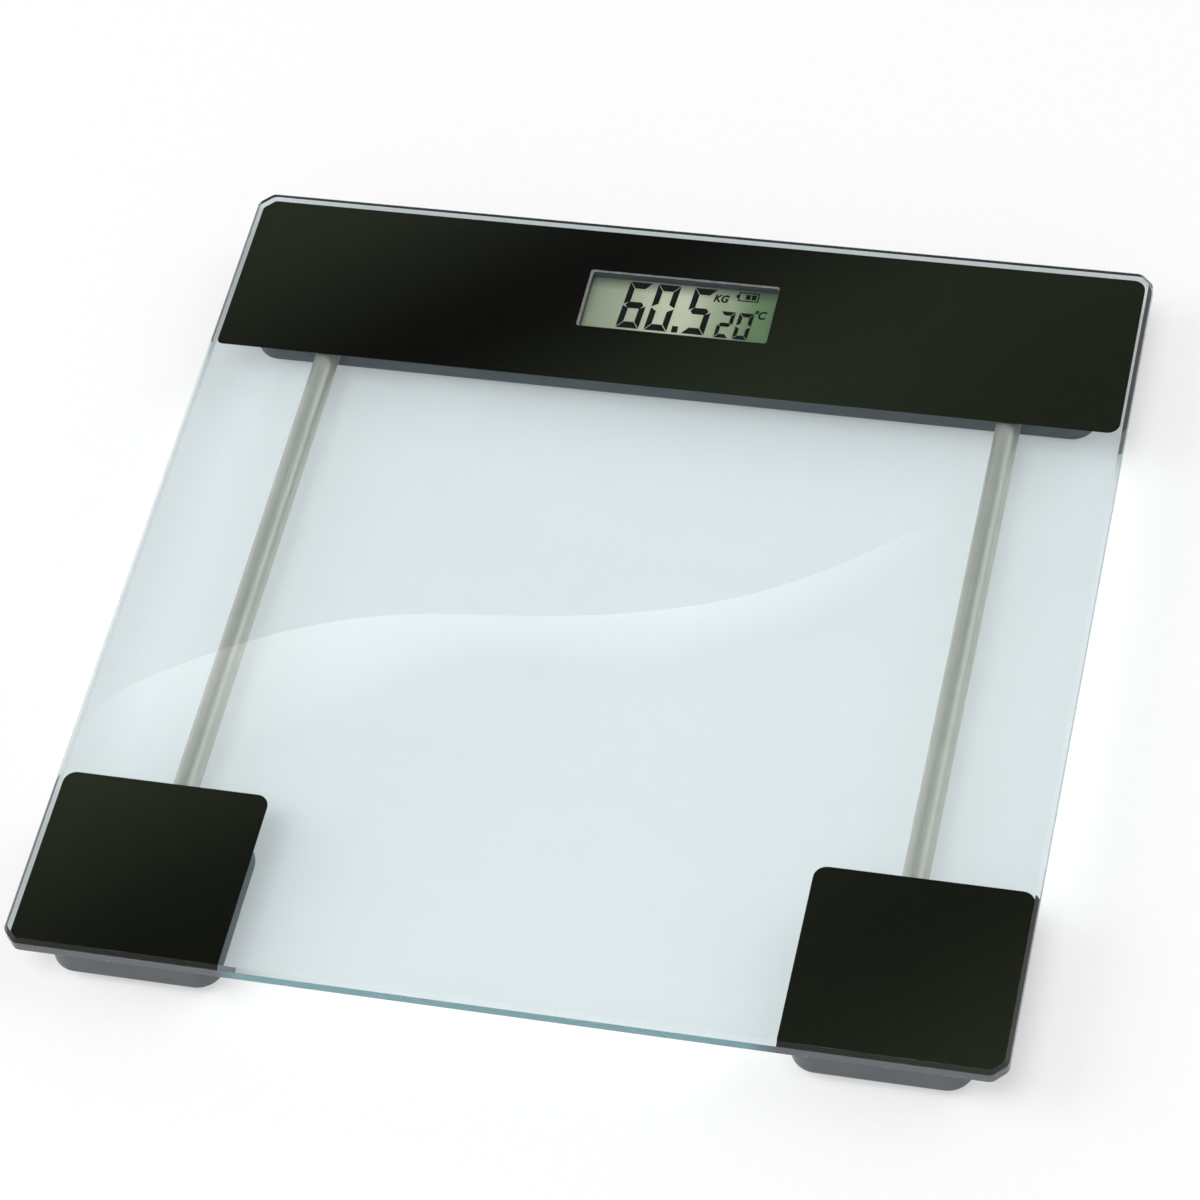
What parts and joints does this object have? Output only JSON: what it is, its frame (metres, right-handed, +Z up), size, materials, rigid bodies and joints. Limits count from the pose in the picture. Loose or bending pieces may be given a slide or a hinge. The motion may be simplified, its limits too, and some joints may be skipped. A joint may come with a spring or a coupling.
{
  "type": "digital bathroom scale",
  "caption": "Square glass bathroom scale on sensing feet, with a black band and liquid-crystal display at the back and steel tubes between grey corner housings.",
  "frame": {"origin": "on the floor under the middle of the glass platform", "axes": "+Z up, +X along the display to the reader's right, +Y from the reader towards the display"},
  "size_m": [0.3, 0.3, 0.022],
  "materials": {
    "platform_glass": "polished",
    "black_print": "gloss",
    "bond_tape": "matte",
    "housing_grey": "satin",
    "cover_grey": "satin",
    "tube_steel": "satin",
    "cell_steel": "plated",
    "gauge_coating": "matte",
    "foot_plastic": "satin",
    "pad_rubber": "matte",
    "screw_steel": "plated",
    "display_glass": "satin",
    "frame_plastic": "matte",
    "strip_rubber": "matte",
    "board_laminate": "satin",
    "resin_black": "gloss",
    "capacitor_tan": "matte",
    "battery_steel": "brushed",
    "contact_metal": "plated",
    "button_plastic": "satin",
    "switch_plastic": "matte"
  },
  "bodies": {
    "scale_body": {"glass_platform": "platform_glass", "rear_print": "black_print", "front_left_print": "black_print", "front_right_print": "black_print", "rear_tape": "bond_tape", "front_left_tape": "bond_tape", "front_right_tape": "bond_tape", "rear_housing": "housing_grey", "front_left_housing": "housing_grey", "front_right_housing": "housing_grey", "rear_cover": "cover_grey", "front_left_cover": "cover_grey", "front_right_cover": "cover_grey", "left_tube": "tube_steel", "right_tube": "tube_steel", "front_left_load_cell": "cell_steel", "front_right_load_cell": "cell_steel", "rear_left_load_cell": "cell_steel", "rear_right_load_cell": "cell_steel", "strain_gauges": "gauge_coating", "rear_cover_screws": "screw_steel", "front_left_cover_screws": "screw_steel", "front_right_cover_screws": "screw_steel", "board_screws": "screw_steel", "lcd_panel": "display_glass", "lcd_frame": "frame_plastic", "contact_strips": "strip_rubber", "main_board": "board_laminate", "controller_resin": "resin_black", "temperature_sensor": "resin_black", "capacitors": "capacitor_tan", "coin_cell": "battery_steel", "cap_contact": "contact_metal", "can_contact": "contact_metal", "unit_switch": "switch_plastic"},
    "front_left_foot": {"front_left_foot": "foot_plastic", "front_left_pad": "pad_rubber"},
    "front_right_foot": {"front_right_foot": "foot_plastic", "front_right_pad": "pad_rubber"},
    "rear_left_foot": {"rear_left_foot": "foot_plastic", "rear_left_pad": "pad_rubber"},
    "rear_right_foot": {"rear_right_foot": "foot_plastic", "rear_right_pad": "pad_rubber"},
    "unit_button": {"unit_button": "button_plastic", "switch_plunger": "switch_plastic"},
    "battery_door": {"battery_door": "cover_grey"}
  },
  "joints": [
    {"name": "front_left_foot_give", "type": "slide", "parent": "scale_body", "child": "front_left_foot", "axis": [0, 0, 1], "range_m": [0, 0.0005], "stiffness_N_per_m": 50000, "deforming": ["front_left_load_cell"]},
    {"name": "front_right_foot_give", "type": "slide", "parent": "scale_body", "child": "front_right_foot", "axis": [0, 0, 1], "range_m": [0, 0.0005], "stiffness_N_per_m": 50000, "deforming": ["front_right_load_cell"]},
    {"name": "rear_left_foot_give", "type": "slide", "parent": "scale_body", "child": "rear_left_foot", "axis": [0, 0, 1], "range_m": [0, 0.0005], "stiffness_N_per_m": 50000, "deforming": ["rear_left_load_cell"]},
    {"name": "rear_right_foot_give", "type": "slide", "parent": "scale_body", "child": "rear_right_foot", "axis": [0, 0, 1], "range_m": [0, 0.0005], "stiffness_N_per_m": 50000, "deforming": ["rear_right_load_cell"]},
    {"name": "unit_button_press", "type": "slide", "parent": "scale_body", "child": "unit_button", "axis": [0, 0, 1], "range_m": [0, 0.0003], "stiffness_N_per_m": 1500},
    {"name": "battery_door_hinge", "type": "hinge", "parent": "scale_body", "child": "battery_door", "pos_m": [0.062, 0.10555, 0.005], "axis": [-1, 0, 0], "range_deg": [0, 75]}
  ]
}
